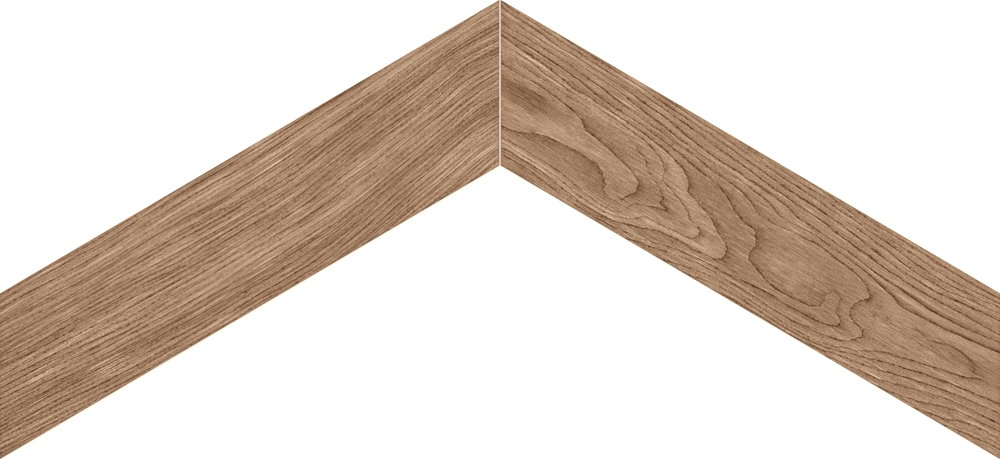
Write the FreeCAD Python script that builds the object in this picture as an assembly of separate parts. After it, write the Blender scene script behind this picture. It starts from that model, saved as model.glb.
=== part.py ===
"""Chevron wall tile: a handed pair of mitred wood-look porcelain planks.

Each plank is pressed and fired in one piece with a keyed back, sawn to a parallelogram
and ground to an arris round its face. The two planks mirror each other across the joint
at X = 0. They lie on their backs, face up, with the point of the V towards +Y. The origin
is under the middle of the pair, on the plane that the backs rest on. Millimetres.
"""

import FreeCAD
import Part

import math
import os

# Plank
PLANK_LENGTH = 600.0  # along a long edge, from corner to corner
PLANK_WIDTH = 148.0  # square across, from one long edge to the other
PLANK_THICKNESS = 9.0  # from the lands of the back to the face
MITRE_ANGLE = 59.55  # degrees between a long edge and a sawn end
ARRIS = 0.5  # chamfer ground round the face

# Joint between the two planks
JOINT_WIDTH = 1.1  # left open for grout

# Keyed back: drafted grooves along the plank, where the adhesive takes hold
KEY_WIDTH = 9.0  # of a groove, at its mouth
KEY_LAND = 7.0  # flat between one groove and the next
KEY_DEPTH = 0.7
KEY_DRAFT = 40.0  # degrees that a groove's walls lean, so that it leaves the press
KEY_MARGIN = 8.0  # least plain land beside a long edge

# Sizes that follow
PLANK_SLOPE = 90.0 - MITRE_ANGLE  # degrees that a laid plank falls away from the point
MITRE_RUN = PLANK_WIDTH * math.tan(math.radians(PLANK_SLOPE))  # lead of one long edge over the other
BLANK_LENGTH = PLANK_LENGTH + MITRE_RUN
MITRE_LENGTH = PLANK_WIDTH / math.cos(math.radians(PLANK_SLOPE))
PAIR_DEPTH = PLANK_LENGTH * math.sin(math.radians(PLANK_SLOPE)) + MITRE_LENGTH


def key_centres():
    """Places of the grooves across the plank: in pairs, so that a land runs down the middle."""
    pitch = KEY_WIDTH + KEY_LAND
    pairs = math.floor((PLANK_WIDTH / 2 - KEY_MARGIN + KEY_LAND / 2) / pitch)
    right = [(number + 0.5) * pitch for number in range(pairs)]
    return [-place for place in reversed(right)] + right


def plank_section():
    """Cross-section of the pressed plank, in the YZ plane: a flat face and a grooved back."""
    lean = KEY_DEPTH * math.tan(math.radians(KEY_DRAFT))
    edge = PLANK_WIDTH / 2
    outline = [(-edge, 0)]
    for centre in key_centres():
        outline += [
            (centre - KEY_WIDTH / 2, 0),
            (centre - KEY_WIDTH / 2 + lean, KEY_DEPTH),
            (centre + KEY_WIDTH / 2 - lean, KEY_DEPTH),
            (centre + KEY_WIDTH / 2, 0),
        ]
    outline += [(edge, 0), (edge, PLANK_THICKNESS), (-edge, PLANK_THICKNESS), (-edge, 0)]
    return Part.Face(Part.makePolygon([FreeCAD.Vector(0, y, z) for y, z in outline]))


def saw_waste():
    """Wedge that the saw takes off the blank's end at X = 0."""
    edge = PLANK_WIDTH / 2
    corners = [(0, edge), (MITRE_RUN, -edge), (0, -edge), (0, edge)]
    wedge = Part.Face(Part.makePolygon([FreeCAD.Vector(x, y, 0) for x, y in corners]))
    return wedge.extrude(FreeCAD.Vector(0, 0, PLANK_THICKNESS))


def sawn_plank():
    """A blank of the section, sawn to a parallelogram, with its leading corner at X = 0."""
    blank = plank_section().extrude(FreeCAD.Vector(BLANK_LENGTH, 0, 0))
    far_waste = saw_waste()
    far_waste.rotate(FreeCAD.Vector(BLANK_LENGTH / 2, 0, 0), FreeCAD.Vector(0, 0, 1), 180)
    return blank.cut([saw_waste(), far_waste])


def ground_arris(plank):
    """The plank with its four face edges chamfered."""
    face_edges = [edge for edge in plank.Edges if edge.BoundBox.ZMin > PLANK_THICKNESS - ARRIS / 2]
    return plank.makeChamfer(ARRIS, face_edges)


def laid_plank():
    """The right-hand plank in its place: one end along the joint, the other falling away."""
    plank = ground_arris(sawn_plank())
    plank.translate(FreeCAD.Vector(0, -PLANK_WIDTH / 2, 0))
    plank.rotate(FreeCAD.Vector(0, 0, 0), FreeCAD.Vector(0, 0, 1), -PLANK_SLOPE)
    plank.translate(FreeCAD.Vector(JOINT_WIDTH / 2, PAIR_DEPTH / 2, 0))
    return plank


def export(name, shape):
    solid = shape.Solids[0]
    box = solid.BoundBox
    print(
        f"{name}: {len(shape.Solids)} solid, valid {solid.isValid()}, {solid.Volume / 1000:.1f} cm3,"
        f" X {box.XMin:.2f} to {box.XMax:.2f}, Y {box.YMin:.2f} to {box.YMax:.2f},"
        f" Z {box.ZMin:.2f} to {box.ZMax:.2f}"
    )
    solid.exportStep(f"parts/{name}.step")


os.makedirs("parts", exist_ok=True)
right_plank = laid_plank()
left_plank = right_plank.mirror(FreeCAD.Vector(0, 0, 0), FreeCAD.Vector(1, 0, 0))
export("plank_right", right_plank)
export("plank_left", left_plank)
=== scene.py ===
"""Looks of the chevron wall tile: two mitred wood-look porcelain planks that make a V.

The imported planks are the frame. Each one gets a finer mesh with the grain pressed into its face,
a printed oak glaze that follows that grain, and a fired body on its edges and keyed back.
Places on a plank are in millimetres: along its long edge from the point of the V, and across it
from the outer long edge to the inner one. Everything in Blender is in metres.
"""

import math

import bmesh
import bpy
import numpy as np
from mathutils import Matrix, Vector, noise


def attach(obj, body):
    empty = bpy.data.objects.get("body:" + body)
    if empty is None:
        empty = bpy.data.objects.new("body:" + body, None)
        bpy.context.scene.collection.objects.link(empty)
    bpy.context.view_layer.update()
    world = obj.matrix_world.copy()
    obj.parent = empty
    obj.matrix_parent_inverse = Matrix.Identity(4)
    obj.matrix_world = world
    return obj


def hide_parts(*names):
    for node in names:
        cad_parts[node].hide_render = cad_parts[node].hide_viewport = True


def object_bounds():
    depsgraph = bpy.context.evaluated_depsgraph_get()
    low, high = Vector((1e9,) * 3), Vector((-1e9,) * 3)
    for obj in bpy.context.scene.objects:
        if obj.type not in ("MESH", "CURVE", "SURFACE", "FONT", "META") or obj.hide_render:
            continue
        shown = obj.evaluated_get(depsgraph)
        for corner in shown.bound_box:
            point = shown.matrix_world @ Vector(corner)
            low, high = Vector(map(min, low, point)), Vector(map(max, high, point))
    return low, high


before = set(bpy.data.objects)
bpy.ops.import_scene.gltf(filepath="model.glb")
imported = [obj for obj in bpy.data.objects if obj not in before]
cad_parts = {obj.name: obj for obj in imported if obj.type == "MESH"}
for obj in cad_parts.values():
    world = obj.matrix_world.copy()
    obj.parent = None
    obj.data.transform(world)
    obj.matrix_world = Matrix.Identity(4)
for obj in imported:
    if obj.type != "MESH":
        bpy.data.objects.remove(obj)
cad_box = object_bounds()


# Right-hand plank
# One porcelain plank, pressed with a keyed back and with the grain stamped into its face, then printed
# as a flat-sawn oak board, glazed matt, fired, sawn to a parallelogram and ground to an arris.
MILLIMETRE = 0.001
MERGE_DISTANCE = 0.01 * MILLIMETRE
FLAT_ANGLE = math.radians(1)  # sides that turn less than this are one flat side
FACE_CUTS_ALONG = 399  # cuts of the fine grid
FACE_CUTS_ACROSS = 219


def pressed_plank(node):
    """Merged copy of a CAD plank, with its face cut into a fine grid for the relief."""
    plank = bmesh.new()
    plank.from_mesh(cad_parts[node].data)
    bmesh.ops.remove_doubles(plank, verts=plank.verts[:], dist=MERGE_DISTANCE)
    bmesh.ops.dissolve_limit(plank, angle_limit=FLAT_ANGLE, verts=plank.verts[:], edges=plank.edges[:])
    face = max(plank.faces, key=lambda side: side.calc_center_median().z)
    face_height = face.calc_center_median().z
    edges = sorted(face.edges, key=lambda edge: edge.calc_length())
    end_direction = (edges[0].verts[1].co - edges[0].verts[0].co).normalized()
    bmesh.ops.subdivide_edges(plank, edges=edges[2:], cuts=FACE_CUTS_ALONG, use_grid_fill=True)

    def lies_across(edge):
        start, end = (vert.co for vert in edge.verts)
        level = min(start.z, end.z) > face_height - MERGE_DISTANCE
        return level and abs((end - start).normalized().dot(end_direction)) > math.cos(FLAT_ANGLE)

    ends = [edge for edge in plank.edges if lies_across(edge)]
    bmesh.ops.subdivide_edges(plank, edges=ends, cuts=FACE_CUTS_ACROSS, use_grid_fill=True)
    return plank


def plank_axes(plank):
    """The point of the V and the directions along and across the plank."""
    corners = [vert.co.copy() for vert in plank.verts if vert.co.z < MERGE_DISTANCE]
    point = max(corners, key=lambda corner: corner.y)
    reach = max(abs(corner.x) for corner in corners)
    outer = [corner for corner in corners if abs(corner.x) > reach - MERGE_DISTANCE]
    along = (max(outer, key=lambda corner: corner.y) - point).normalized()
    hand = math.copysign(1, along.x)
    return point, along, Vector((along.y, -along.x, 0)) * hand


RELIEF_DEPTH = 0.16 * MILLIMETRE
RELIEF_WIDTH = 0.9  # half-width of a pressed growth line, mm
RELIEF_MARGIN = 3.0  # width of the border over which the relief dies out, mm


def stamp_grain(name, plank, fields):
    """Object from a plank, with the grain fields kept on its vertices and pressed into its face."""
    point, along_axis, across_axis = plank_axes(plank)
    mesh = bpy.data.meshes.new(name)
    plank.to_mesh(mesh)
    plank.free()
    count = len(mesh.vertices)
    places = np.empty(count * 3)
    mesh.vertices.foreach_get("co", places)
    places = places.reshape(count, 3)
    from_point = (places - np.array(point)) / MILLIMETRE
    along = from_point @ np.array(along_axis)
    across = from_point @ np.array(across_axis)

    width = across.max()
    mitre = -along_axis.y / abs(along_axis.x)
    length = along.max() - width * mitre
    slant = (along - across * mitre) * abs(along_axis.x)
    slant_length = length * abs(along_axis.x)
    inward = np.minimum.reduce([across, width - across, slant, slant_length - slant])
    grain = {"along": along, "inward": inward, **fields(along, across)}

    on_face = places[:, 2] > places[:, 2].max() - MERGE_DISTANCE
    fade = np.clip(inward / RELIEF_MARGIN, 0, 1)
    gap = (grain["ring"] - np.round(grain["ring"])) / grain["rate"]
    pressed = RELIEF_DEPTH * np.minimum(grain["dark"], 1) * np.exp(-(gap / RELIEF_WIDTH) ** 2) * fade
    places[:, 2] -= np.where(on_face, pressed, 0)
    mesh.vertices.foreach_set("co", places.ravel())
    for field, values in grain.items():
        attribute = mesh.attributes.new(field, "FLOAT", "POINT")
        attribute.data.foreach_set("value", values.astype(np.float32))

    piece = bpy.data.objects.new(name, mesh)
    bpy.context.scene.collection.objects.link(piece)
    return piece


LEAST_APART = 1e-12  # keeps the logarithm finite where two places meet
PLACES_AT_ONCE = 4000
SQUEEZE = 0.35  # lengths along a plank are shortened by this, as the grain changes slowly that way


def guide_surface(guides):
    """Function of (along, across) that bends smoothly through guide lines, {height: [lines]}."""
    points = np.array([point for lines in guides.values() for line in lines for point in line])
    heights = np.array([height for height, lines in guides.items() for line in lines for _ in line])
    points = points * (SQUEEZE, 1)
    count = len(points)

    def bend(places):
        ahead = places[:, :1] - points[:, 0]
        aside = places[:, 1:] - points[:, 1]
        apart = ahead * ahead + aside * aside
        return apart * np.log(np.maximum(apart, LEAST_APART))

    plain = np.column_stack([np.ones(count), points])
    system = np.block([[bend(points), plain], [plain.T, np.zeros((3, 3))]])
    weights = np.linalg.solve(system, np.concatenate([heights, np.zeros(3)]))

    def height_at(along, across):
        places = np.column_stack([along * SQUEEZE, across])
        parts = np.array_split(places, max(1, len(places) // PLACES_AT_ONCE))
        bent = np.concatenate([bend(part) @ weights[:count] for part in parts])
        return bent + weights[count] + places @ weights[count + 1:]

    return height_at


RATE_STEP = 0.7  # distance over which rings are counted, mm
LEAST_RATE = 0.005


def ring_rate(ring_at, along, across):
    """Rings per millimetre at each place."""
    here = ring_at(along, across)
    ahead = ring_at(along + RATE_STEP, across) - here
    aside = ring_at(along, across + RATE_STEP) - here
    return np.maximum(np.hypot(ahead, aside) / RATE_STEP, LEAST_RATE)


def drift(along, across, sways):
    """Smooth irregular waver in millimetres: a sum of sways, each (reach, length, width, seed)."""
    total = np.zeros(len(along))
    for reach, length, width, seed in sways:
        places = zip(along / length, across / width)
        total += reach * np.array([noise.noise((x, y, seed)) for x, y in places])
    return total


def soft_patches(along, across, patches):
    """Sum of soft oval shades: (along, across, half length, half width, tone, and maybe a fall) each."""
    tone = np.zeros(len(along))
    for centre, level, half_length, half_width, depth, *fall in patches:
        ahead = along - centre
        aside = across - level - sum(fall) * ahead
        tone += depth * np.exp(-(ahead / half_length) ** 2 - (aside / half_width) ** 2)
    return tone


# Growth rings: they come out of the joint as nested tongues, close round an oval, and open again
# towards the far end. Ring numbers grow outwards from the heart. Each point of a guide line is
# along, across, and how dark the growth line is there, in tenths.
RIGHT_RINGS = {
    0.45: [[(45, 84, 5), (90, 80, 5), (150, 84, 5)]],
    1: [[(34, 56, 11), (60, 57, 9), (82, 56.5, 9), (100, 58, 9), (120, 60.5, 11), (131, 63, 12),
        (138, 66, 14), (143, 70, 15), (152, 72.5, 13), (165, 74, 11), (180, 77.5, 10), (195, 81, 11),
        (208, 84.5, 10), (216, 88.5, 10), (220, 93, 11), (222, 99, 11), (220, 104, 11), (216, 109, 9),
        (213, 115, 8), (206, 120, 4), (199, 119, 6), (191, 111, 9), (184, 104, 11), (177, 99, 12),
        (168, 96.5, 10), (150, 95.5, 11), (130, 96.5, 10), (117, 97.5, 11), (104, 100.5, 9),
        (96, 104, 9), (84, 109.5, 10), (68, 112, 13)]],
    2: [[(28, 46, 3), (60, 48, 4), (100, 50, 4), (140, 51.5, 2), (172, 53, 2), (190, 57.5, 4),
        (202, 62, 6), (214, 68, 9), (223, 76, 3), (236, 82, 5), (245, 88, 7), (250, 92, 10),
        (248, 97, 10), (258, 100.5, 10), (246, 104.5, 11), (236, 108, 8), (226, 112, 6), (222, 118, 5),
        (220, 125, 5), (212, 129.5, 5), (195, 130, 7), (175, 128.5, 7), (150, 124, 8), (125, 121.5, 6),
        (100, 121.5, 4), (76, 122, 8)]],
    3: [[(25, 37, 4), (55, 39.5, 6), (75, 42, 7), (100, 44, 7), (130, 44.5, 6), (160, 46.5, 7),
        (185, 48.5, 9), (205, 50.5, 10), (216, 54, 11), (227, 58.5, 10), (233, 63, 7), (237, 69, 5),
        (238, 74, 5), (246, 78, 8), (258, 82, 8), (270, 87, 10), (279, 92, 9), (285, 97, 9),
        (294, 98.5, 10), (299, 101.5, 11), (299, 108, 10), (295, 113, 9), (280, 115, 9), (260, 117, 8),
        (240, 118.5, 7), (238, 122, 9), (230, 128, 8), (218, 132.5, 9), (200, 135, 10), (180, 134.5, 10),
        (160, 131.5, 7), (140, 129, 5), (110, 127.5, 6), (76, 127, 7)]],
    4: [[(20, 31.5, 11), (40, 33.5, 10), (60, 34, 14), (80, 36, 11), (98, 38.5, 13), (112, 41, 14),
        (140, 41, 11), (165, 42, 12), (195, 44, 11), (220, 47, 15), (238, 51, 14), (251, 55, 15),
        (259, 60, 10), (265, 66, 8), (268, 72, 10), (280, 77, 9), (295, 81.5, 9), (308, 88, 10),
        (318, 94.5, 9), (328, 99, 10), (334, 107, 10), (333, 115, 11), (324, 119.5, 12), (300, 121, 13),
        (275, 122, 11), (258, 125, 9), (248, 129, 8), (232, 133.5, 11), (212, 138.5, 11),
        (190, 139.7, 13), (165, 137.5, 9), (140, 133.5, 9), (115, 131, 11), (83, 131, 10)]],
    5: [[(15, 27, 7), (45, 27, 10), (80, 28, 11), (104, 30, 10), (125, 32.5, 13), (140, 35, 11),
        (170, 36.5, 9), (200, 38.5, 6), (225, 41, 8), (250, 45, 8), (275, 49, 10), (295, 53, 11),
        (307, 58, 13), (317, 64, 11), (330, 69.5, 13), (346, 72, 13), (352, 78, 12), (357, 86, 11),
        (355, 93, 9), (359, 102, 11), (370, 105.5, 11), (380, 110, 11), (394, 113.3, 11),
        (420, 113.2, 10), (438, 110, 9), (445.5, 105.5, 8), (446.5, 97, 4.5), (447.5, 89, 6),
        (453, 85.8, 6), (460.5, 88.5, 6.5), (463, 96, 5.5), (467.5, 104.5, 9), (472.5, 112, 10),
        (465, 117.5, 11), (445, 121, 11), (415, 122.5, 10), (390, 121.5, 13), (365, 124, 12),
        (335, 126.5, 10), (310, 128, 10), (290, 130.5, 6), (268, 135.5, 5), (250, 140, 6), (225, 143, 7),
        (190, 144.5, 6), (160, 142.5, 7), (130, 139.5, 6), (83, 138, 7)]],
    5.55: [[(385, 82, 5), (415, 78, 5), (400, 92, 5)]],
    6: [[(10, 19, 9), (45, 20.3, 7), (85, 21.2, 5), (112, 23, 8), (135, 25.5, 9), (155, 28.5, 12),
        (185, 31.5, 6), (220, 34.5, 8), (250, 37, 8), (275, 40.5, 12), (300, 42.5, 12), (318, 45.5, 13),
        (332, 50, 10), (342, 55, 7), (355, 56.5, 6), (375, 55, 7), (400, 53, 11), (418, 52.8, 14),
        (440, 55.5, 11), (460, 57.7, 10), (474, 62.5, 12), (483, 69, 12), (485, 74, 12), (479, 80, 10),
        (475, 88, 10), (475, 95, 10), (481, 101, 10), (492, 104, 9), (499, 110, 11), (494, 117, 10),
        (484, 124.5, 10), (468, 129, 8), (445, 131, 9), (415, 133.5, 7), (385, 132, 7), (350, 131.3, 9),
        (320, 131.5, 7), (300, 134, 5), (275, 139, 7), (250, 144, 9), (240, 147, 9)]],
    7: [[(6, 12.5, 8), (30, 13, 6), (60, 15, 6), (100, 16, 4), (135, 18.5, 7), (160, 20.5, 5),
        (190, 25, 11), (240, 31, 10), (275, 34, 6), (305, 35.5, 7), (330, 38, 10), (350, 41.5, 11),
        (360, 45.5, 7), (380, 46.3, 7), (402, 45, 8), (425, 47.2, 9), (450, 49, 9), (474, 52, 11),
        (490, 56, 13), (506, 59, 12), (518, 63.5, 10), (535, 63, 12), (560, 61.5, 14), (585, 59, 15),
        (610, 56, 15), (632, 53.5, 15)],
        [(652, 84, 8), (636, 85.5, 6), (623, 88, 11), (616, 92, 12), (595, 97.5, 12), (570, 103, 10),
        (545, 109, 12), (528, 113, 10), (514, 119.5, 7), (500, 127, 5), (480, 134.5, 8), (460, 138.5, 9),
        (430, 140.3, 8), (400, 138.8, 7), (370, 137, 5), (340, 136, 3), (315, 139.5, 5), (290, 145, 8)]],
    8: [[(3, 5, 16), (50, 8.5, 13), (75, 11.3, 9), (115, 12, 5), (150, 13.7, 7), (180, 16.3, 11),
        (210, 19, 12), (235, 23.3, 15), (260, 27, 13), (285, 28.7, 11), (310, 29.5, 11), (340, 31.8, 13),
        (365, 34.5, 13), (382, 38.5, 14), (405, 39.8, 9), (435, 42.2, 9), (460, 44.5, 11), (480, 47, 14),
        (510, 48.6, 17), (540, 51, 17), (565, 51, 15), (590, 49, 11), (627, 44, 8)],
        [(658, 99, 11), (620, 104.5, 13), (590, 109, 12), (565, 114, 13), (540, 120, 12), (520, 126, 12),
        (500, 131, 10), (480, 137.5, 9), (455, 142, 9), (420, 143, 7), (380, 141, 8), (350, 141, 6),
        (320, 145, 6)]],
    9: [[(10, 2, 8), (50, 3.7, 7), (85, 6, 7), (150, 8.8, 6), (190, 10.5, 8), (230, 14, 11),
        (262, 17, 12), (295, 20, 12), (315, 22, 11), (340, 25, 12), (370, 27, 11), (405, 29.2, 10),
        (430, 33, 12), (460, 35.5, 15), (490, 38.3, 13), (520, 39.7, 12), (560, 39, 12), (620, 37.5, 9)],
        [(665, 107, 9), (640, 110.3, 9), (615, 113.3, 11), (585, 118.8, 12), (560, 124.5, 12),
        (535, 131, 9), (515, 135.5, 8), (490, 139.5, 7), (470, 144, 8)]],
    10: [[(85, 1.5, 7), (130, 3, 8), (200, 6.8, 9), (240, 9, 9), (275, 11, 11), (305, 14, 12),
        (340, 17, 11), (370, 19.3, 12), (405, 20.7, 12), (435, 23.8, 12), (460, 27, 12), (490, 30.8, 8),
        (520, 32.2, 9), (545, 32, 9), (570, 29, 12), (595, 26.7, 13), (617, 25, 13)],
        [(670, 116.5, 9), (640, 119, 9), (610, 122.3, 7), (585, 127.5, 8), (560, 134, 7),
        (540, 139.5, 8), (510, 143.5, 7)]],
    11: [[(200, 1.5, 5), (240, 4, 6), (280, 6, 6), (320, 9, 7), (355, 10.7, 9), (385, 12.2, 9),
        (412, 15, 7), (445, 18, 9), (475, 20.5, 10), (500, 24.7, 13), (530, 26, 11), (555, 24.7, 9),
        (580, 21, 7), (605, 18.5, 8)],
        [(673, 123.5, 8), (645, 125.5, 8), (620, 128, 8), (602, 133, 9), (580, 140, 8), (560, 144.5, 8)]],
    12: [[(320, 4, 6), (355, 5.7, 7), (385, 7, 8), (410, 9.5, 8), (440, 12, 8), (470, 14, 8),
        (500, 17, 9), (530, 19, 9), (555, 18.7, 8), (580, 16.5, 8), (603, 14, 8)],
        [(677, 130, 9), (650, 131.5, 9), (632, 135, 9), (615, 141, 11), (590, 146, 10)]],
    13: [[(390, 2, 7), (420, 5.5, 7), (445, 8.7, 7), (475, 10, 8), (515, 11.7, 8), (550, 13.5, 8),
        (575, 12, 8), (600, 10, 8)],
        [(681, 139.5, 10), (655, 141.5, 10), (620, 146.5, 10)]],
    14: [[(470, 4, 8), (510, 5, 8), (545, 6, 8), (600, 5, 8)]],
}

# Which way the fibres run: they follow the upper rings, and lie level through the tongues.
# Each fibre has a height, and where it lies across the plank at these places along it.
RIGHT_FIBRE_PLACES = (0, 120, 260, 400, 540, 690)
RIGHT_FIBRES = {
    0: (-6, 0, 6, 12, 17, 14),
    30: (19, 24, 30, 38, 46, 42),
    60: (54, 58, 61, 62, 62, 58),
    95: (95, 95, 96, 95, 94, 92),
    130: (126, 128, 131, 129, 127, 120),
    148: (143, 146, 149, 147, 146, 141),
}

# Light and dark areas of the print and its loose streaks, from the joint to the far end:
# along, across, half length, half width, tone, and the fall for each millimetre along, if any
RIGHT_PATCHES = [
    (50, 12.3, 26, 1.3, 20, 0.03), (60, 37.2, 46, 1.2, 21, 0.055), (60, 67.5, 22, 2, -10),
    (67, 74, 37, 10, -28), (72, 69.5, 22, 1.2, -24), (72, 83.5, 20, 1.6, -10),
    (74, 77.5, 26, 1.1, -20, -0.03), (78, 83, 18, 1.3, -16), (82, 66.5, 16, 1.6, -10),
    (84, 65.5, 16, 1.1, -26, -0.03), (84, 87, 12, 0.9, -10, -0.02), (85, 95.5, 24, 1.2, 12, -0.05),
    (86, 75, 13, 8, -4), (90, 31, 90, 4, 4, 0.05), (94, 74, 8, 8, -8), (105, 129.2, 36, 1.1, 22, 0.02),
    (110, 125.6, 40, 1.3, 20, 0.02), (112, 104, 20, 2, -10, -0.3), (118, 10.4, 18, 1, 12),
    (122, 16, 14, 1, 12), (130, 88, 80, 6, 12, -0.03), (150, 5.8, 14, 1, 12, 0.03),
    (160, 43.8, 50, 1.2, 22, 0.045), (172, 131.5, 40, 3.2, 11, 0.06), (190, 137.3, 40, 1.3, 20),
    (195, 14.5, 14, 1, 10, 0.05), (200, 108, 22, 12, -9), (222, 103, 5, 11, -4),
    (222, 130, 22, 3.6, 11, -0.25), (224, 97, 5, 9, -6), (225, 54, 30, 3.5, 8, 0.4),
    (228, 25, 22, 1.5, 12, 0.09), (235, 93, 15, 13, -9, 0.3), (236, 63, 4, 4, -14, 0.7),
    (249, 93, 5, 3, -8, 0.6), (250, 63, 18, 5, 9, 0.9), (258, 57.5, 12, 3, -14, 0.6),
    (264, 100.5, 9, 2.4, -7), (268, 118.6, 32, 1.4, 22, -0.06), (268, 67, 4, 4, -12),
    (290, 60, 34, 8, -4, 0.45), (290, 96, 36, 5, 8, 0.7), (300, 32.4, 50, 1.2, 24, 0.045),
    (303, 105, 4, 6, -16), (304, 116.5, 16, 2, 9), (310, 86, 14, 2.6, -14, 0.55),
    (312, 110, 14, 6, 9, 0.3), (338, 106, 5, 9, -14), (358, 38.5, 13, 2.6, 10, 0.25),
    (359, 81, 3.5, 8, -4), (388, 42.8, 16, 1.2, 4, 0.02), (390, 58.5, 40, 2.4, 7, -0.02),
    (397, 90, 28, 16, 8), (402, 95, 1.6, 4, -10), (412, 108, 30, 4, 12), (428.5, 92, 1.8, 5, -22),
    (455, 98, 26, 16, -7), (480, 50, 12, 1.2, 12, 0.1), (487.5, 72, 2.2, 6, -16),
    (496.5, 83.8, 5, 1.2, -18), (499, 86, 1.6, 2.4, -26), (500, 56.5, 15, 1.8, -22, 0.25),
    (505, 88.8, 10, 1.2, 10), (509.5, 79.6, 5, 1.2, -18), (510, 89.3, 16, 1.2, 10, -0.06),
    (512, 71, 18, 5, 8), (512.5, 81.8, 1.6, 2.4, -26), (515, 55, 11, 1.1, 30, 0.02),
    (525, 45.6, 42, 1, 34, 0.02), (540, 48.6, 54, 1.3, -14, 0.01), (540, 84, 38, 0.9, -12),
    (545, 56, 26, 5, 12), (545, 76.4, 5, 0.9, -56, -0.1), (545, 60.8, 28, 1.4, -18),
    (550, 92, 60, 4, 5, -0.03), (550, 69.3, 22, 0.9, -14), (554, 77.6, 5, 0.9, -50, 0.15),
    (556, 87.3, 36, 0.9, -12), (570, 76.6, 8, 0.9, -60, -0.3), (574, 88.8, 17, 0.9, 12),
    (575, 85.3, 15, 0.9, 12), (580, 86.6, 17, 1.3, -20), (580, 83.4, 13, 1.3, 16),
    (588, 73, 12, 0.9, -56), (588, 124, 45, 9, -6, -0.15), (590, 64, 60, 4, 14, -0.12),
    (590, 57.4, 32, 1.6, -16, -0.09), (590, 46.6, 24, 2.1, -18, -0.1), (600, 101, 50, 3, 7, -0.2),
    (604, 74.2, 8, 1, -40, 0.12), (605, 82, 14, 1.3, -16), (610, 81, 44, 7, -11),
    (610, 76, 11, 1.3, -28, 0.2), (612, 79.5, 7, 1.3, -24), (614, 71.6, 8, 1.5, 14),
    (617, 83.5, 1.5, 2.6, -34), (618, 82, 12, 1, -14), (620.5, 85.5, 3, 1.2, -34, -0.7),
    (622, 53.2, 16, 1.5, -16, -0.1), (627, 83, 4, 1.1, -36, 0.3), (636, 74, 12, 1.1, -14),
]
RIGHT_RING_TONES = [4, -3, 4, 8, -7, -3, 0, 1]  # of the wood between one ring and the next
RIGHT_RAGGED = [(1.6, 30, 3, 1), (0.7, 12, 1.6, 2)]  # sway of the growth lines along the plank
RIGHT_WAVY = [(0.45, 17, 5, 3)]  # and across it
TENTH = 0.1  # unit of darkness in the lists
DARKEST_LINE = 2


def right_grain(along, across):
    """Ring numbers, fibre lines, darkness of the growth lines and broad tone of the right-hand plank."""
    places = {}
    darkness = {}
    for ring, lines in RIGHT_RINGS.items():
        places[ring] = [[point[:2] for point in line] for line in lines]
        for along_point, across_point, dark in (point for line in lines for point in line):
            darkness.setdefault(dark, []).append([(along_point, across_point)])
    ring_at = guide_surface(places)
    dark_at = guide_surface(darkness)
    fibres = {height: [list(zip(RIGHT_FIBRE_PLACES, fibre))] for height, fibre in RIGHT_FIBRES.items()}
    flow_at = guide_surface(fibres)

    ragged = along + drift(along, across, RIGHT_RAGGED)
    wavy = across + drift(along, across, RIGHT_WAVY)
    ring = ring_at(ragged, wavy)
    between_rings = np.arange(len(RIGHT_RING_TONES)) + 0.5
    tone = soft_patches(along, across, RIGHT_PATCHES) + np.interp(ring, between_rings, RIGHT_RING_TONES)
    return {
        "flow": flow_at(along, across),
        "ring": ring,
        "rate": ring_rate(ring_at, along, across),
        "dark": np.clip(TENTH * dark_at(along, across), 0, DARKEST_LINE),
        "broad": tone,
    }


class Tone:
    """A number that changes over a surface: an expression on it adds its Math nodes."""

    def __init__(self, socket):
        self.socket = socket
        self.tree = socket.id_data

    def maths(self, operation, *values):
        node = self.tree.nodes.new("ShaderNodeMath")
        node.operation = operation
        for slot, value in zip(node.inputs, values):
            feed(self.tree, slot, value)
        return Tone(node.outputs[0])

    def __add__(self, other):
        return self.maths("ADD", self, other)

    def __sub__(self, other):
        return self.maths("SUBTRACT", self, other)

    def __rsub__(self, other):
        return self.maths("SUBTRACT", other, self)

    def __mul__(self, other):
        return self.maths("MULTIPLY", self, other)

    def __truediv__(self, other):
        return self.maths("DIVIDE", self, other)

    __radd__ = __add__
    __rmul__ = __mul__

    def exp(self):
        return self.maths("EXPONENT", self)

    def round(self):
        return self.maths("ROUND", self)

    def fraction(self):
        return self.maths("FRACT", self)

    def between(self, low, high):
        return self.maths("MINIMUM", self.maths("MAXIMUM", self, low), high)


def feed(tree, slot, value):
    """Links a socket or a Tone to a node's input, or sets a plain value on it."""
    if isinstance(value, Tone):
        value = value.socket
    if isinstance(value, bpy.types.NodeSocket):
        tree.links.new(value, slot)
    else:
        slot.default_value = value


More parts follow.
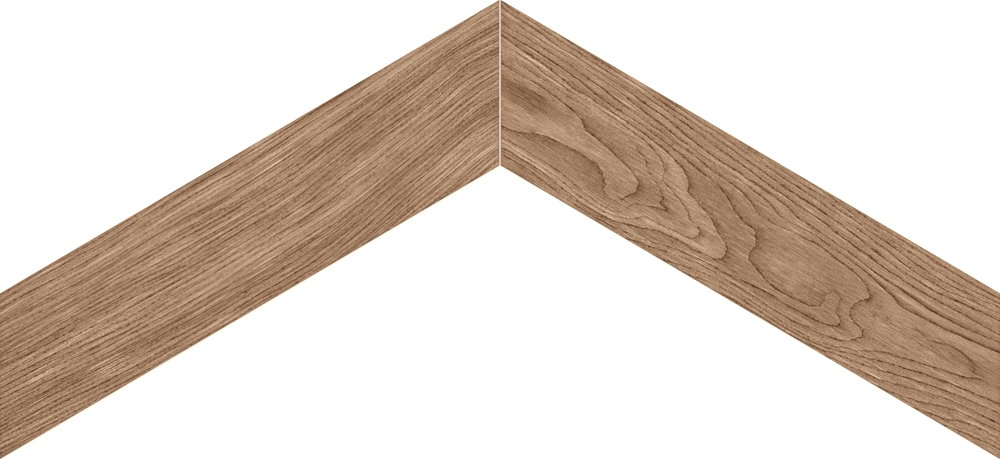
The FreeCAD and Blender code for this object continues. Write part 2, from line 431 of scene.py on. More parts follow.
class Finish:
    """A new material, whose nodes are added one by one."""

    def __init__(self, name):
        self.material = bpy.data.materials.new(name)
        self.material.use_nodes = True
        self.tree = self.material.node_tree
        self.shader = self.tree.nodes["Principled BSDF"]

    def node(self, kind, settings, inputs):
        """Adds a node: its settings are set first, then the values or links of its sockets."""
        node = self.tree.nodes.new(kind)
        for setting, value in settings.items():
            setattr(node, setting, value)
        for slot, value in inputs.items():
            feed(self.tree, node.inputs[slot], value)
        return node

    def surface(self, **sockets):
        """Feeds the shader's own sockets, named with low lines for spaces."""
        for name, value in sockets.items():
            feed(self.tree, self.shader.inputs[name.replace("_", " ")], value)

    def field(self, name):
        """One of the grain fields kept on the mesh."""
        return Tone(self.node("ShaderNodeAttribute", {"attribute_name": name}, {}).outputs["Fac"])

    def waver(self, along, across, seed, detail=0.0):
        """Noise about 0, mostly from -0.3 to 0.3."""
        place = self.node("ShaderNodeCombineXYZ", {}, {"X": along, "Y": across, "Z": seed})
        inputs = {"Vector": place.outputs[0], "Scale": 1.0, "Detail": detail}
        return Tone(self.node("ShaderNodeTexNoise", {}, inputs).outputs["Fac"]) - 0.5

    def ramp(self, place, stops):
        """Colour ramp through {place: colour}."""
        node = self.node("ShaderNodeValToRGB", {}, {"Fac": place})
        elements = node.color_ramp.elements
        while len(elements) < len(stops):
            elements.new(1.0)
        for element, (position, colour) in zip(elements, stops.items()):
            element.position = position
            element.color = (*colour, 1.0)
        return node.outputs["Color"]

    def dents(self, height, depth):
        """Bump of that depth in metres."""
        return self.node("ShaderNodeBump", {}, {"Height": height, "Distance": depth}).outputs["Normal"]


SCREEN_WHITE = 255


def linear(red, green, blue):
    """Linear colour from the 0 to 255 scale of a screen."""
    parts = (value / SCREEN_WHITE for value in (red, green, blue))
    return tuple(part / 12.92 if part <= 0.04045 else ((part + 0.055) / 1.055) ** 2.4 for part in parts)


# Printed glaze: an ink-jet oak print under matt glaze. Its tone is worked out on the scale of 0 to 255,
# and a ramp colours it from dark pores to pale fibres.
GLAZE_SHEEN = 0.02  # light that the matt glaze throws back by itself
INK_SHARE = 0.915  # part of the ink's colour that comes through
LEAST_INK = 0.001
RED_ABOVE = 35  # how far red lies above green in the oak colours
BLUE_BELOW = 28  # and blue below it
PALE_FROM = 135  # above this level the oak loses red and a little blue
PALE_RED_LOSS = 0.12
PALE_BLUE_LOSS = 0.02
DULL_FROM = 120  # below this level it gains blue
DULL_BLUE_GAIN = 0.12
DEEP_FROM = 88  # and below this one it loses blue again
DEEP_BLUE_LOSS = 1.2


def oak_ink(level):
    """Ink that looks like the oak colour of that level, from 0 to 255, under the sheen of the glaze."""
    pale = max(level - PALE_FROM, 0)
    dull = max(DULL_FROM - level, 0)
    deep = max(DEEP_FROM - level, 0)
    red = level + RED_ABOVE - PALE_RED_LOSS * pale
    blue = level - BLUE_BELOW - PALE_BLUE_LOSS * pale + DULL_BLUE_GAIN * dull - DEEP_BLUE_LOSS * deep
    return tuple(max(part - GLAZE_SHEEN, LEAST_INK) / INK_SHARE for part in linear(red, level, blue))


OAK_LEVELS = range(40, 221, 20)
OAK_TONES = {level / SCREEN_WHITE: oak_ink(level) for level in OAK_LEVELS}
GLAZE_ROUGHNESS = 0.62  # at a middle tone
PALE_SMOOTHER = 0.25  # fall of the roughness from black to white
GLOSS = 0.25  # of glaze and bare body
PRINT_RELIEF = 0.12 * MILLIMETRE
PAINTED_EDGE_SHADE = 30  # painted shade: how much the print is darkened along the arris
EDGE_SHADE_WIDTH = 1.0  # and within how many millimetres

# Rings begin to count as wide below so many to the millimetre, and do so wholly this much lower
WIDE_RINGS = 0.13
WIDE_RANGE = 0.09

# Marks along the fibres: length and width in millimetres, a seed for their places, and their
# strength among narrow rings and among wide ones. Fibres and strokes get their length from the board.
BOARD_STREAKS = (120, 4, 1, 0.7, 0.7)
THIN_STREAKS = (45, 1.7, 2, 0.8, 0.8)
LONG_FIBRES = (1, 3, 1, 0.8)
SHORT_FIBRES = (1.1, 4, 0.6, 0.9)
SHORT_FIBRE_SHARE = 0.25  # of a long fibre's length
SPECKS = (1.6, 1, 5, 1, 0.75)
LONG_STEPS = (11, 2, 6, 0.14, 0.028)
SHORT_STEPS = (2.6, 1.1, 7, 0.16, 0.032)
SMUDGES = (25, 2.2, 9, 1.6, 0.8)
RIM_BREAKS = (24, 2.5, 10, 3, 3)
PORES = (4.2, 1, 11, 1, 1)
PALE_STROKES = (0.9, 12, 1, 1)
PALE_STROKE_SHARE = 0.8
SHORT_BEADS = (2.4, 1.2, 13, 1.6, 0.24)

# Growth lines: a dark core broken into beads, with a soft skirt
BEAD_LENGTH = 9
BEAD_WIDTH = 6
BEAD_SHIFT = 5.3  # from one line to the next
BEAD_SEED = 8
BEAD_STRENGTH = (1, 0.15)
DASH_MEAN = 0.85
DASH_RANGE = (0.1, 1.35)
SKIRT_SHARE = 0.18
SKIRT_SPREAD = 2.8  # times the width of the core
CORE_STRENGTH = (1, 0.85)

# Beside the lines: a shade on the outer side, and a pale rim 0.8 mm outside the line and 1.6 mm inside it
SHADE_REACH = 0.22  # as a share of the way to the next line
SHADE_STRENGTH = (0.4, 1.5)
SMUDGE_MEAN = 0.8
RIM_LEAN = 0.8
RIM_PLACE = 1.3
RIM_MEAN = 0.6
RIM_TOP = 1.4

# Pores lie near the lines and in their shade, with a few strays, and pale strokes lie anywhere
PORE_REACH = 1.6  # from a line, mm
PORE_STRENGTH = (1, 0.25)
PORE_RARITY = 0.06
STRAY_PORES = 0.2
SHADE_PORES = 0.4
STROKE_RARITY = 0.12
STROKE_STRENGTH = (1, 0.25)


def printed_oak(name, level, line, width, broken, shade, rim, streak, fibre, length, speck, pore, pale):
    """Matt glaze over an oak print, from its level, the width of a line and the strength of each mark."""
    glaze = Finish(name)
    along = glaze.field("along")
    flow = glaze.field("flow")
    rate = glaze.field("rate")
    dark = glaze.field("dark")
    wide = ((WIDE_RINGS - rate) / WIDE_RANGE).between(0, 1)

    def among_rings(if_narrow, if_wide):
        return if_narrow + (if_wide - if_narrow) * wide

    def marks(mark_length, mark_width, seed, if_narrow, if_wide, detail=0.0):
        waver = glaze.waver(along / mark_length, flow / mark_width, seed, detail)
        return among_rings(if_narrow, if_wide) * waver

    def bell(distance):
        return (distance * distance * -1).exp()

    ring = glaze.field("ring") + marks(*LONG_STEPS) + marks(*SHORT_STEPS)
    number = ring.round()
    gap = (ring - number) / rate
    bead_row = number * BEAD_SHIFT + flow / BEAD_WIDTH
    beads = glaze.waver(along / BEAD_LENGTH, bead_row, BEAD_SEED, detail=1.0)
    beads = among_rings(*BEAD_STRENGTH) * beads + marks(*SHORT_BEADS)
    dash = (DASH_MEAN + broken * beads).between(*DASH_RANGE)
    skirt = bell(gap / (SKIRT_SPREAD * width))
    core = (1 - SKIRT_SHARE) * bell(gap / width) * dash + SKIRT_SHARE * skirt
    core = core * dark * among_rings(*CORE_STRENGTH)

    smudge = SMUDGE_MEAN + marks(*SMUDGES, detail=1.0)
    outer_shade = (ring.fraction() / -SHADE_REACH).exp() * smudge * among_rings(*SHADE_STRENGTH) * dark
    rims = (RIM_MEAN + marks(*RIM_BREAKS)).between(0, RIM_TOP)
    rims = rims * bell(gap * (gap + RIM_LEAN) - RIM_PLACE)

    streaks = marks(*BOARD_STREAKS) + marks(*THIN_STREAKS)
    fibres = marks(length, *LONG_FIBRES) + marks(SHORT_FIBRE_SHARE * length, *SHORT_FIBRES)
    pore_room = STRAY_PORES + bell(gap / PORE_REACH) * dark * among_rings(*PORE_STRENGTH)
    pores = (marks(*PORES) - PORE_RARITY).between(0, 1) * (pore_room + SHADE_PORES * outer_shade)
    strokes = marks(PALE_STROKE_SHARE * length, *PALE_STROKES) - STROKE_RARITY
    strokes = strokes.between(0, 1) * among_rings(*STROKE_STRENGTH)

    # painted shade along the edges of the face, darkest at the arris
    tone = level + glaze.field("broad") - PAINTED_EDGE_SHADE * (glaze.field("inward") / -EDGE_SHADE_WIDTH).exp()
    tone = tone - line * core - shade * outer_shade + rim * rims
    tone = tone + streak * streaks + fibre * fibres + speck * marks(*SPECKS)
    tone = (tone - pore * pores + pale * strokes) / SCREEN_WHITE
    glaze.surface(
        Base_Color=glaze.ramp(tone, OAK_TONES),
        Roughness=GLAZE_ROUGHNESS - PALE_SMOOTHER * (tone - 0.5),
        Specular_IOR_Level=GLOSS,
        Normal=glaze.dents(tone, PRINT_RELIEF),
    )
    return glaze.material


# Fired body: bare porcelain on the ground arris, the sawn edges and the keyed back,
# a stone colour with fine specks.
BODY_TONES = {0.3: linear(122, 106, 90), 0.55: linear(152, 135, 117), 0.8: linear(176, 160, 142)}
BODY_ROUGHNESS = 0.8
GRIT_SHARE = 0.6  # the rest of the tone is clouds
GRIT_RELIEF = 0.03 * MILLIMETRE
GRIT_SCALE = 900.0  # about a millimetre from speck to speck
CLOUD_SCALE = 40.0


def fired_body():
    """Bare porcelain: clouds of stone colour with fine grit."""
    body = Finish("fired_body")
    place = body.node("ShaderNodeTexCoord", {}, {}).outputs["Object"]

    def specks(scale):
        return Tone(body.node("ShaderNodeTexNoise", {}, {"Vector": place, "Scale": scale}).outputs["Fac"])

    grit = specks(GRIT_SCALE)
    tone = GRIT_SHARE * grit + (1 - GRIT_SHARE) * specks(CLOUD_SCALE)
    body.surface(
        Base_Color=body.ramp(tone, BODY_TONES),
        Roughness=BODY_ROUGHNESS,
        Specular_IOR_Level=GLOSS,
        Normal=body.dents(grit, GRIT_RELIEF),
    )
    return body.material


body_material = fired_body()
FACE_UPRIGHT = 0.9  # a side whose normal rises more than this belongs to the face


def finish_plank(piece, node, print_material):
    """Print on the face, bare body elsewhere, in place of the CAD plank."""
    piece.data.materials.append(print_material)
    piece.data.materials.append(body_material)
    for side in piece.data.polygons:
        is_face = side.normal.z > FACE_UPRIGHT
        side.material_index = 0 if is_face else 1
        side.use_smooth = is_face
    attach(piece, "root")
    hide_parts(node)


right_plank = stamp_grain("right_plank", pressed_plank("plank_right"), right_grain)
flat_sawn = printed_oak(
    "flat_sawn_oak", level=132.7, line=84, width=0.44, broken=1.2, shade=22,
    rim=26, streak=9, fibre=66, length=46, speck=90, pore=270, pale=275,
)
finish_plank(right_plank, "plank_right", flat_sawn)


# Left-hand plank
# The mirror image of the other, made the same way, but printed as a quarter-sawn board:
# many nearly straight growth lines that sweep up towards the joint.
LEFT_EVEN_DARK = 0.3  # darkness that every growth line has at least
LEFT_LINE_DARK = 0.65  # strength of the darkness that each line has by itself
LEFT_WAVY = [(0.25, 14, 3, 5)]  # sway of the growth lines across the plank

# Fibres: the height of each one is where it crosses the plank at the middle, where the grain runs level
LEFT_FIBRES = {
    14: [[(40, 1), (100, 3.5), (160, 7), (200, 9), (240, 11), (270, 13), (300, 14.6), (340, 14),
        (380, 13.7), (420, 15.5), (455, 16.7), (500, 17), (545, 16), (575, 14.2), (605, 14)]],
    31: [[(15, 8), (50, 9.5), (100, 13), (160, 19.5), (220, 24.5), (260, 28), (300, 30), (340, 31),
        (420, 31), (500, 31.5), (540, 30.5), (612, 27)]],
    48.5: [[(18, 24.5), (40, 24), (70, 24.3), (95, 26.5), (120, 30), (160, 34.5), (200, 38.5),
        (230, 41.5), (260, 46), (310, 48.5), (380, 48.5), (420, 47), (480, 45.5), (540, 46), (620, 44)]],
    65: [[(35, 38.5), (55, 37), (70, 37.3), (85, 39.5), (105, 42.5), (150, 48), (180, 51), (210, 54),
        (240, 59), (285, 63.5), (340, 65), (410, 65.5), (440, 64), (480, 61.5), (515, 60), (570, 59),
        (632, 57.5)]],
    82.5: [[(36, 55), (45, 54.7), (60, 54), (75, 54.5), (90, 57), (120, 62.5), (155, 66.5), (195, 71.5),
        (220, 73), (250, 76), (270, 79), (300, 81), (340, 82.5), (430, 82.3), (490, 80), (530, 78),
        (590, 76), (643, 73.5)]],
    104.5: [[(50, 72.4), (65, 72), (80, 74), (115, 80), (150, 86), (185, 93), (220, 98), (255, 102),
        (310, 104.3), (350, 104.7), (400, 107), (430, 107.5), (490, 106), (540, 104), (620, 99),
        (655, 97)]],
    118.5: [[(55, 86), (75, 86), (100, 90.5), (125, 94), (150, 99), (175, 103), (200, 107), (245, 114),
        (300, 118), (400, 118.7), (480, 117.5), (530, 115), (600, 111), (662, 108)]],
    136.5: [[(62, 101), (100, 104), (130, 110), (160, 115), (190, 119.5), (215, 124), (240, 129),
        (280, 134), (340, 136.5), (440, 137.8), (520, 135.5), (585, 130.5), (676, 128)]],
    158: [[(75, 121), (100, 124), (150, 133), (200, 141), (260, 149), (340, 158), (440, 158), (560, 154),
        (690, 148)]],
}

# Growth lines from the outer edge inwards. Each is a row of points: along, height, darkness
# of the line in tenths, and how much lighter the wood is between it and the next line.
LEFT_LINES = [
    [(300, -8, 5, 2)],
    [(300, -1.5, 4, 4)],
    [(170, 5, 9, -4), (290, 3.4, 9, -6), (350, 5.2, 9, -4), (400, 4.6, 7, -2), (520, 3.7, 9, 2),
     (600, 5, 4, 2)],
    [(170, 7.5, 1, 8), (320, 7.3, 2, 10), (385, 7, 3.5, 12), (450, 7.5, 1.5, 10), (520, 7, 2.5, 8),
     (600, 7.5, 2, 4)],
    [(60, 16.5, 3, 8), (120, 15.7, 4, 10), (180, 14.7, 3, 8), (230, 14.2, 5, 5), (250, 14, 9, 5),
     (345, 14.4, 9, 4), (440, 13.6, 11, 4), (500, 14.2, 9, 4), (525, 13.7, 10, 4), (570, 14.3, 12, 0),
     (605, 14, 9, 2)],
    [(60, 20.5, 0, 18), (100, 20, 0, 24), (160, 19.5, 0, 22), (230, 17.7, 0, 24), (345, 17.6, 1, 22),
     (440, 16.5, 0, 18), (500, 17.8, 0, 20), (605, 17, 0, 10)],
    [(25, 28, 6, 24), (50, 28.6, 2, 24), (75, 27.2, 5, 24), (120, 26.4, 6, 20), (145, 25.6, 4, 14),
     (175, 24.2, 6, 12), (205, 23.4, 4, 8), (260, 23, 2, 8), (340, 22, 1.5, 12), (400, 21.4, 3.5, 8),
     (435, 22, 4, 12), (475, 21.8, 2, 8), (500, 23.5, 5, 8), (525, 22.6, 5, 6), (580, 21.8, 4, 8),
     (610, 22, 3, 4)],
    [(25, 33.5, 1.5, 8), (80, 33, 1.5, 6), (120, 31, 1.5, 2), (160, 29.3, 2, 2), (210, 27.4, 4, 5),
     (260, 27.6, 3, 8), (350, 25.6, 1.5, 6), (400, 25.8, 3, 4), (440, 26.6, 4, 6), (480, 28, 3, 8),
     (510, 28.7, 3, 6), (545, 27.8, 6.5, 18), (580, 28, 5, 8), (612, 27.2, 5, 2)],
    [(25, 35.5, 1, 10), (80, 35.3, 1.5, 8), (120, 33.5, 2.5, 4), (150, 31.8, 3, -2), (195, 31.9, 5, -2),
     (240, 31.4, 4, 2), (320, 32.5, 4, -3), (360, 33.3, 5, -5), (395, 30.6, 5, -4), (440, 30.5, 6, -2),
     (490, 32.5, 7, -6), (545, 31.3, 8, -10), (580, 32.2, 5, -8), (613, 30.6, 6, -8)],
    [(25, 38.3, 1.5, 22), (80, 37.8, 1.5, 18), (120, 35.3, 1, 14), (160, 34.5, 1, 14), (210, 35.3, 1, 10),
     (280, 34.8, 1.5, 14), (340, 35.7, 5.5, 18), (370, 36, 5, 18), (400, 33.7, 2, 12), (470, 34.6, 1, 18),
     (520, 34.8, 3, 12), (560, 34.4, 4.5, 10), (615, 34, 4, 8)],
    [(30, 42.3, 4, 4), (70, 41.9, 5, 4), (110, 40.7, 6.5, 0), (155, 39.1, 8.5, -2), (185, 39.6, 7, -2),
     (215, 40.8, 5, 2), (265, 39.7, 8, 4), (330, 42, 4.5, 0), (380, 40.8, 5.5, 0), (440, 39.8, 3, 0),
     (490, 39.5, 3, 2), (560, 41.2, 6.5, 4), (600, 39.1, 6, 10), (615, 39.5, 5, 4)],
    [(15, 45, 7, 0), (45, 44, 6, 2), (75, 45.2, 5, -1), (110, 44.2, 6, -1), (145, 43, 6.5, -3),
     (180, 43, 9, -4), (205, 44.4, 5, -1), (230, 43.8, 8, 2), (265, 43.3, 7, 3), (320, 44.7, 5, 8),
     (370, 43.6, 8.5, 6), (425, 42.9, 6, 6), (480, 43.8, 5.5, 4), (540, 43.1, 9, 3), (575, 44.3, 3.5, 5),
     (618, 43.6, 8, 6)],
    [(20, 48.5, 8.5, 0), (60, 48.4, 9, -4), (110, 48.8, 8, -3), (135, 47.6, 9, -5), (205, 48.3, 11, -3),
     (345, 48, 10, 2), (385, 48.2, 7, 0), (430, 47.6, 10, 6), (490, 48.4, 8, 4), (525, 47.7, 9, 0),
     (585, 49, 10, 6), (622, 48.5, 9, 2)],
    [(25, 52.5, 5, 2), (60, 51.6, 4.5, 4), (100, 53, 5, 10), (140, 51.6, 5, 6), (180, 51.8, 3.5, 4),
     (225, 54, 3.5, 10), (250, 53.3, 5.5, 12), (300, 53.2, 6, 18), (380, 52.3, 6.5, 14),
     (405, 53.5, 4, 12), (440, 52.3, 5, 12), (465, 53.2, 4, 10), (490, 52.2, 6.5, 12), (515, 53.2, 4, 10),
     (545, 51.8, 4, 10), (585, 52.8, 7.5, 12), (625, 53, 5, 8)],
    [(25, 58, 1, 2), (100, 57.7, 2, 4), (140, 58.4, 4.5, 2), (180, 58.5, 1, 0), (260, 58.6, 1.5, -2),
     (305, 57.8, 4, -2), (360, 57.3, 3, 2), (415, 58, 6, 2), (445, 57.6, 4.5, 4), (470, 58.4, 1.5, 0),
     (495, 57.3, 5, 0), (530, 57.6, 2, 0), (585, 59, 3, 2), (628, 59, 2.5, 0)],
    [(25, 61, 6, 6), (50, 60.9, 7.5, 6), (95, 61.8, 3, 8), (120, 61.4, 6.5, 12), (165, 61.5, 5.5, 6),
     (215, 62, 6.5, 6), (245, 61.3, 4, 10), (280, 61.8, 6, 8), (310, 61.2, 3, 10), (380, 59.8, 7.5, 12),
     (430, 60.6, 5, 10), (490, 61.2, 8.5, 8), (520, 60.8, 6, 6), (560, 61, 2.5, 12), (585, 62, 6.5, 4),
     (630, 61.5, 4, 2)],
    [(28, 64.5, 7, 4), (55, 64.8, 8, 6), (80, 65.3, 5, 7), (110, 65.2, 7, 6), (135, 65.8, 7, 5),
     (220, 66.2, 7, 6), (245, 65, 5, 0), (280, 65.8, 6, 6), (305, 65, 9.5, 7), (380, 64.3, 10, 4),
     (425, 65.8, 6, 4), (460, 64.9, 9.5, 6), (500, 65.7, 12, 6), (550, 64.7, 8, 4), (590, 65.7, 5, 6),
     (632, 64.8, 10, 2)],
    [(30, 69, 9, -4), (60, 69.5, 9, -3), (90, 70.4, 8, -2), (140, 70.8, 10, -4), (180, 70.1, 8, -4),
     (255, 71, 9, -2), (270, 71.8, 8, -4), (310, 72.8, 5, 2), (325, 71.5, 6, 2), (340, 70.9, 11, 2),
     (370, 70.8, 8, 0), (400, 69.6, 7, 2), (430, 70.7, 11, 2), (465, 70, 8, -2), (500, 71, 5, -3),
     (560, 70.4, 10, -4), (595, 71.5, 8, -6), (635, 70, 12, -8)],
    [(35, 72.5, 1, -6), (120, 73.8, 1.5, 2), (180, 73.2, 1, 4), (260, 74, 2, 0), (310, 75, 1, 2),
     (350, 73.7, 2.5, 2), (405, 73.3, 5, 8), (450, 73, 2, 4), (520, 73.5, 1, 0), (600, 74, 2.5, -6)],
    [(32, 75.8, 8, 2), (65, 76.5, 7, 4), (110, 77.7, 5, 10), (140, 76.7, 7, 10), (175, 76, 7, 6),
     (235, 77.7, 6, 6), (310, 78, 4, 6), (345, 77, 5, 4), (380, 76.2, 5.5, 6), (460, 76, 8, 4),
     (510, 77.2, 8.5, 2), (555, 76.7, 8, 4), (590, 77.2, 8, 2), (640, 76.2, 7, 2)],
    [(40, 82.5, 5, 8), (70, 82.7, 11, 14), (105, 83.4, 8, 14), (140, 82.3, 8.5, 12), (165, 83.4, 6, 10),
     (190, 82.2, 5, 9), (245, 84.2, 4, 10), (265, 83, 6.5, 9), (340, 82.8, 9, 10), (370, 81.7, 9, 8),
     (405, 81.6, 11, 8), (435, 82.3, 8.5, 9), (480, 83, 8.5, 6), (510, 83.8, 9, 12), (530, 82.6, 8, 16),
     (555, 82.8, 12, 14), (580, 82, 8, 8), (610, 83, 8, 6), (642, 82.7, 9, 6)],
    [(60, 89, 4, 2), (90, 90, 4.5, 4), (140, 89.6, 4.5, 4), (175, 88.5, 5, 4), (220, 88.9, 3, 6),
     (285, 87.7, 5, 7), (345, 87.2, 6, 8), (400, 86.3, 7, 8), (440, 87.3, 6.5, 8), (480, 89.2, 5.5, 4),
     (500, 89.8, 5, 5), (515, 88.6, 7, 4), (550, 88.8, 5, 3), (600, 87.7, 6.5, 0), (645, 87.2, 9, 2)],
    [(42, 95, 7, 0), (80, 96.4, 8.5, -2), (125, 94.8, 9, 7), (150, 95.1, 7, 7), (200, 94, 7, 4),
     (235, 93.3, 9, 4), (260, 94.1, 6, 5), (315, 93.4, 7.5, 7), (345, 93.7, 5, 7), (385, 92.2, 6, 9),
     (440, 93, 6.5, 6), (485, 95, 7, 4), (520, 94, 8.5, 4), (550, 92.8, 10, 5), (580, 93, 9, 0),
     (620, 92.3, 12, 0), (650, 92.5, 11, -2)],
    [(45, 102, 5, 6), (70, 104, 7.5, 8), (95, 102.4, 8, 9), (135, 102.3, 9, 12), (160, 101.6, 5, 10),
     (185, 99.3, 7, 9), (215, 99, 4, 12), (280, 99.9, 4, 18), (315, 98.6, 3.5, 21), (345, 98.8, 3.5, 24),
     (375, 99, 4, 18), (410, 98.5, 3, 14), (455, 98.7, 6, 12), (510, 99.4, 8, 12), (530, 98.2, 5, 8),
     (560, 99.6, 9, 8), (590, 98.3, 8, 10), (650, 97, 8.5, 12)],
    [(50, 107.5, 5, 4), (85, 108.8, 6.5, 4), (130, 108.8, 6, 4), (150, 108, 5, 5), (180, 105.1, 5, 7),
     (205, 105.7, 4.5, 8), (230, 106.3, 1.5, 12), (260, 105.3, 4, 13), (300, 105, 6, 13),
     (330, 104.5, 9, 11), (375, 104.7, 6, 8), (405, 105, 6.5, 7), (445, 104, 8.5, 8), (495, 104.4, 12, 4),
     (520, 104, 8, 2), (580, 104, 8.5, 3), (650, 101.8, 11, 2)],
    [(52, 113.8, 7, 2), (95, 113.3, 9, 4), (130, 113.2, 4.5, 4), (180, 110.2, 4.5, 6), (205, 111.3, 4, 6),
     (245, 110.4, 3.5, 4), (285, 110.6, 5, 8), (340, 113, 6.5, 6), (360, 111.6, 7, 5),
     (398, 112.2, 7.5, 8), (420, 111, 6.5, 5), (475, 112, 6.5, 4), (505, 111.2, 6, 2),
     (530, 111.8, 4.5, 4), (580, 110.3, 7.5, 6), (605, 108.8, 7.5, 5), (655, 108, 5.5, 4)],
    [(55, 120, 9, 0), (75, 119.5, 9, 5), (100, 118.3, 9.5, 6), (120, 118.7, 9, 6), (140, 117.6, 9, 7),
     (200, 116, 7.5, 3), (245, 115.2, 10, 4), (260, 116.1, 9.5, 4), (295, 115.5, 8, 0),
     (310, 115.5, 3, 2), (345, 116, 1, 5), (395, 116.3, 1, 6), (430, 115.9, 5, -4), (485, 116, 6, -4),
     (510, 116.3, 3, -2), (545, 115.4, 9, -3), (580, 115.5, 7, -5), (610, 113.6, 8.5, -2),
     (632, 112.9, 10, 2), (660, 114, 11, 2)],
    [(55, 122, 0, 2), (140, 120, 0, 6), (200, 118, 0, 3), (280, 118, 0, 4), (292, 118, 6, 3),
     (345, 118.4, 9.5, 0), (365, 118.9, 8.5, 1), (400, 118, 10, 3), (460, 117.4, 9, 2),
     (495, 118, 9.5, 1), (520, 118.3, 9, 1), (545, 117.3, 5, 2), (580, 118.2, 6, -2), (610, 120, 4, -2),
     (630, 118.7, 10, 2), (660, 119.3, 10, 0)],
    [(55, 123.4, 0, -2), (120, 122.7, 2, 0), (165, 121.8, 4.5, -4), (188, 121.9, 7.5, -4),
     (205, 122.2, 4.5, -2), (260, 120.8, 3.5, 3), (345, 121, 1, 2), (440, 120.5, 1, 4),
     (610, 121.6, 2, -2), (660, 121, 1, 0)],
    [(57, 125.5, 8, -1), (75, 125, 8, 0), (100, 124.3, 7.5, 2), (130, 125.6, 6, 8), (150, 125.4, 5, 16),
     (200, 124.6, 4, 8), (255, 123.8, 7.5, 8), (285, 124.5, 5, 5), (310, 125.9, 5.5, 2),
     (345, 126, 10, -4), (362, 124.1, 8, -2), (400, 124.2, 7, -2), (430, 123, 8.5, -3),
     (460, 122.7, 10, -3), (510, 124, 9, 3), (535, 124.8, 10, 0), (590, 123, 9, -3), (615, 124, 4, -4),
     (640, 123.2, 7, -3), (663, 122.7, 9, 0)],
    [(57, 127, 0, 0), (120, 126.9, 0, 2), (150, 127.3, 0, 16), (200, 126.8, 0, 8), (255, 126.5, 0, 8),
     (310, 127.2, 0, 0), (345, 127.1, 0, -4), (460, 125.2, 0, -3), (545, 126.4, 1, 0),
     (580, 125.9, 9, -2), (605, 126, 4, -3), (670, 126, 3, -2)],
    [(60, 128.5, 8, 2), (90, 128.3, 7, 4), (120, 127.8, 6, 4), (145, 129.6, 7.5, 7), (175, 129.4, 6, 5),
     (212, 129.7, 6.5, 2), (240, 129, 7, 2), (290, 128.5, 4, 2), (320, 128.7, 7, 7), (365, 128, 9, 3),
     (395, 127.7, 7.5, 2), (440, 128.4, 5, 3), (460, 127, 6, 2), (510, 127.3, 7, 3), (535, 128.5, 5, 6),
     (560, 129.3, 5.5, 2), (590, 129.8, 5, -1), (630, 129.5, 3, -3), (670, 129, 4, -4)],
    [(65, 131.8, 5.5, 2), (92, 133, 6, 2), (125, 131.4, 4, 10), (140, 131.5, 2, 16), (165, 131.6, 1, 7),
     (270, 130.8, 2, 0), (300, 131.9, 5, 2), (320, 133.4, 6.5, 3), (345, 132, 6.5, 4),
     (420, 131.3, 7.5, 5), (450, 132, 4, 2), (475, 130.9, 7, 3), (520, 131.9, 5, 3), (550, 133.5, 6.5, 3),
     (575, 133.7, 6, 4), (610, 132.7, 5, 3), (632, 133.2, 6, 0), (655, 132.1, 10, -3), (672, 132, 10, -3)],
    [(62, 139.5, 9, 5), (80, 137.8, 8.5, 8), (120, 136.1, 9, 11), (155, 136, 7, 11), (195, 134.7, 8.5, 2),
     (215, 135.1, 7, 3), (245, 133.9, 9, 0), (265, 135.2, 9, -4), (305, 137.5, 13, -6),
     (345, 137, 12, -4), (362, 136.3, 10, -2), (400, 136.6, 14, 0), (440, 136.7, 12, 0),
     (465, 137.2, 8, -3), (505, 136.3, 11, -2), (550, 138, 11, -2), (570, 138, 12, -3),
     (590, 137, 12, -3), (625, 137, 11, -3), (650, 135.4, 8, -4), (674, 134.3, 8, 0)],
    [(75, 142.6, 4, 12), (100, 142.2, 4.5, 20), (150, 140, 3, 12), (190, 140, 6, 5), (250, 141.2, 8.5, 2),
     (270, 142.3, 9.5, -3), (283, 143.9, 8, -4), (300, 144, 5, 4), (345, 142.7, 5, 6),
     (370, 140.6, 4, 12), (395, 140.3, 5, 8), (440, 140.6, 3, 10), (480, 139.2, 6, 6), (520, 141.5, 3, 4),
     (550, 142.3, 5, 5), (605, 141.7, 8.5, 7), (650, 139.6, 6, 3), (676, 138, 6, 5)],
    [(70, 146.2, 5, 14), (115, 145.6, 5, 14), (150, 145.5, 5.5, 12), (200, 146.4, 4, 1),
     (240, 147.5, 6, 0), (300, 146.8, 6, -2), (345, 145.6, 5, 0), (370, 143.8, 8, -3), (400, 145.2, 5, 0),
     (520, 146, 6, -2), (560, 146.2, 5, -2), (625, 146.9, 6, 8), (650, 145, 4, 6), (678, 143.2, 6, 4)],
    [(70, 150.8, 5, 12), (120, 151, 6.5, 20), (165, 150.3, 4.5, 10), (250, 152, 5, 0), (400, 151, 4, 0),
     (570, 150.2, 7, 4), (605, 150.8, 13, 2), (650, 149.6, 8, 6), (680, 148.5, 7, 4)],
    [(85, 154.6, 2.5, 18), (125, 154.6, 2, 20), (180, 154, 2, 7), (240, 154.2, 3, 1), (500, 154, 4, 0),
     (670, 152.8, 6, 2)],
    [(90, 158.3, 1.5, 14), (130, 157.6, 5.5, 16), (160, 158, 3, 2), (240, 158, 3, 0)],
    [(90, 160.4, 0.5, 18), (150, 160, 3, 12), (200, 159.7, 5.5, 5), (240, 160, 3, 4)],
    [(90, 165.3, 3, 13), (130, 165.6, 3, 11), (170, 164.4, 6, 7), (200, 164, 4, 6)],
    [(85, 168.8, 3, 3), (115, 169.6, 6, 1), (150, 169.3, 5, -3)],
    [(82, 173.5, 3, 6), (110, 173, 5, 2), (140, 172.3, 7, -3)],
    [(100, 178, 5, 2)],
    [(100, 185, 5, 2)],
    [(100, 200, 5, 2)],
]


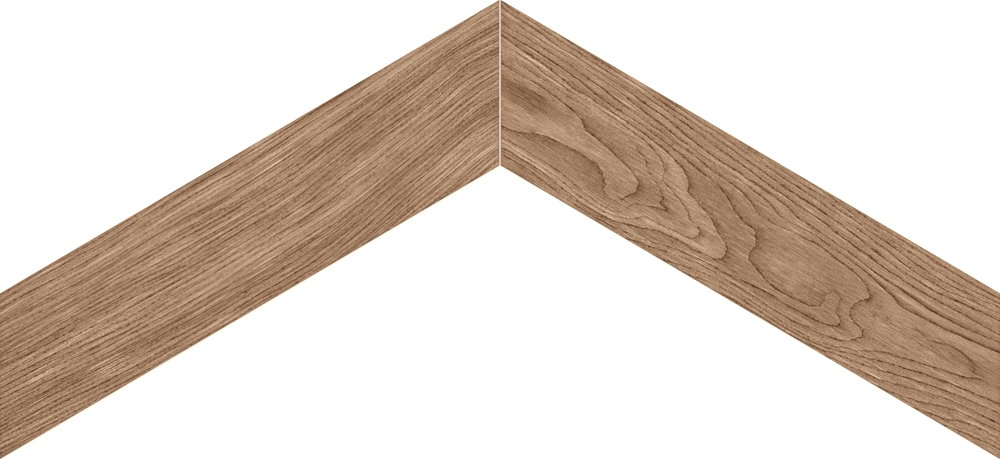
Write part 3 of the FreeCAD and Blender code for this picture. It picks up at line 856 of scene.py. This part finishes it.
def left_grain(along, across):
    """Ring numbers, fibre lines, darkness of the growth lines and broad tone of the left-hand plank."""
    fibre_at = guide_surface(LEFT_FIBRES)

    def place_among_lines(along, flow):
        """Ring number at each place, and the darkness and lightness to either side of it."""
        rows = [np.array(line).T for line in LEFT_LINES]
        tables = [[np.interp(along, row[0], row[part]) for row in rows] for part in (1, 2, 3)]
        heights, darks, lights = np.array(tables)
        each = np.arange(len(along))
        above = np.clip((heights <= flow).sum(0) - 1, 0, len(rows) - 2)
        share = (flow - heights[above, each]) / (heights[above + 1, each] - heights[above, each])
        dark = darks[above, each] * (1 - share) + darks[above + 1, each] * share
        nearer = np.clip(above + np.where(share < 0.5, -1, 0), 0, len(rows) - 2)
        part = np.where(share < 0.5, share + 0.5, share - 0.5)
        light = lights[nearer, each] * (1 - part) + lights[nearer + 1, each] * part
        return above + share, dark, light

    def ring_at(along, across):
        return place_among_lines(along, fibre_at(along, across))[0]

    flow = fibre_at(along, across)
    wavy = flow + drift(along, flow, LEFT_WAVY)
    ring, dark, light = place_among_lines(along, wavy)
    return {
        "flow": flow,
        "ring": ring,
        "rate": ring_rate(ring_at, along, across),
        "dark": LEFT_EVEN_DARK + LEFT_LINE_DARK * TENTH * dark,
        "broad": light,
    }


left_plank = stamp_grain("left_plank", pressed_plank("plank_left"), left_grain)
quarter_sawn = printed_oak(
    "quarter_sawn_oak", level=129, line=92, width=0.36, broken=1.9, shade=4,
    rim=10, streak=0, fibre=80, length=80, speck=105, pore=270, pale=290,
)
finish_plank(left_plank, "plank_left", quarter_sawn)


# Studio
# The pair lies on a plain white floor under a soft light from above, seen from straight above.
FLOOR_SIZE = 12.0
FLOOR_GLOW = (1.0, 0.87, 0.76, 1.0)  # the floor's own light, which is warm where a plank shades it
FLOOR_COLOUR = 0.3

floor_shape = bmesh.new()
bmesh.ops.create_grid(floor_shape, x_segments=1, y_segments=1, size=FLOOR_SIZE / 2)
floor_mesh = bpy.data.meshes.new("floor")
floor_shape.to_mesh(floor_mesh)
floor_shape.free()
floor = bpy.data.objects.new("floor", floor_mesh)
bpy.context.scene.collection.objects.link(floor)

paper = Finish("floor_paper")
path = paper.node("ShaderNodeLightPath", {}, {}).outputs
seen = Tone(path["Is Camera Ray"]) + Tone(path["Is Glossy Ray"]) + Tone(path["Is Transmission Ray"])
glow = paper.node(
    "ShaderNodeMix",
    {"data_type": "RGBA"},
    {"Factor": seen, "A": (0, 0, 0, 1), "B": FLOOR_GLOW},
)
paper.surface(
    Base_Color=(FLOOR_COLOUR, FLOOR_COLOUR, FLOOR_COLOUR, 1),
    Roughness=1.0,
    Specular_IOR_Level=0.0,
    Emission_Color=glow.outputs["Result"],
    Emission_Strength=1.0,
)
floor_mesh.materials.append(paper.material)

# Together, sky and sun light a level white sheet to about full white
SKY_LEVEL = 0.5
SUN_LEVEL = 0.5
SUN_SPREAD = math.radians(24)
SUN_TILT = (math.radians(-10), math.radians(-10), 0)

world = bpy.data.worlds.new("studio")
world.use_nodes = True
world.node_tree.nodes["Background"].inputs["Color"].default_value = (1, 1, 1, 1)
world.node_tree.nodes["Background"].inputs["Strength"].default_value = SKY_LEVEL
bpy.context.scene.world = world

sun = bpy.data.lights.new("softbox", "SUN")
sun.energy = SUN_LEVEL * math.pi
sun.angle = SUN_SPREAD
sun_object = bpy.data.objects.new("softbox", sun)
sun_object.rotation_euler = SUN_TILT
bpy.context.scene.collection.objects.link(sun_object)

# A long lens, in millimetres like its sensor
LENS = 200.0
SENSOR = 36.0
FRAME_TRIM = 0.5 * MILLIMETRE  # the picture ends this far inside the outer corners
camera = bpy.data.cameras.new("camera")
camera.lens = LENS
camera.sensor_width = SENSOR
camera.sensor_fit = "HORIZONTAL"
low, high = cad_box
span = high.x - low.x - 2 * FRAME_TRIM
camera_object = bpy.data.objects.new("camera", camera)
camera_object.location = ((low.x + high.x) / 2, (low.y + high.y) / 2, high.z + span * LENS / SENSOR)
bpy.context.scene.collection.objects.link(camera_object)
bpy.context.scene.camera = camera_object
bpy.context.scene.view_settings.view_transform = "Standard"
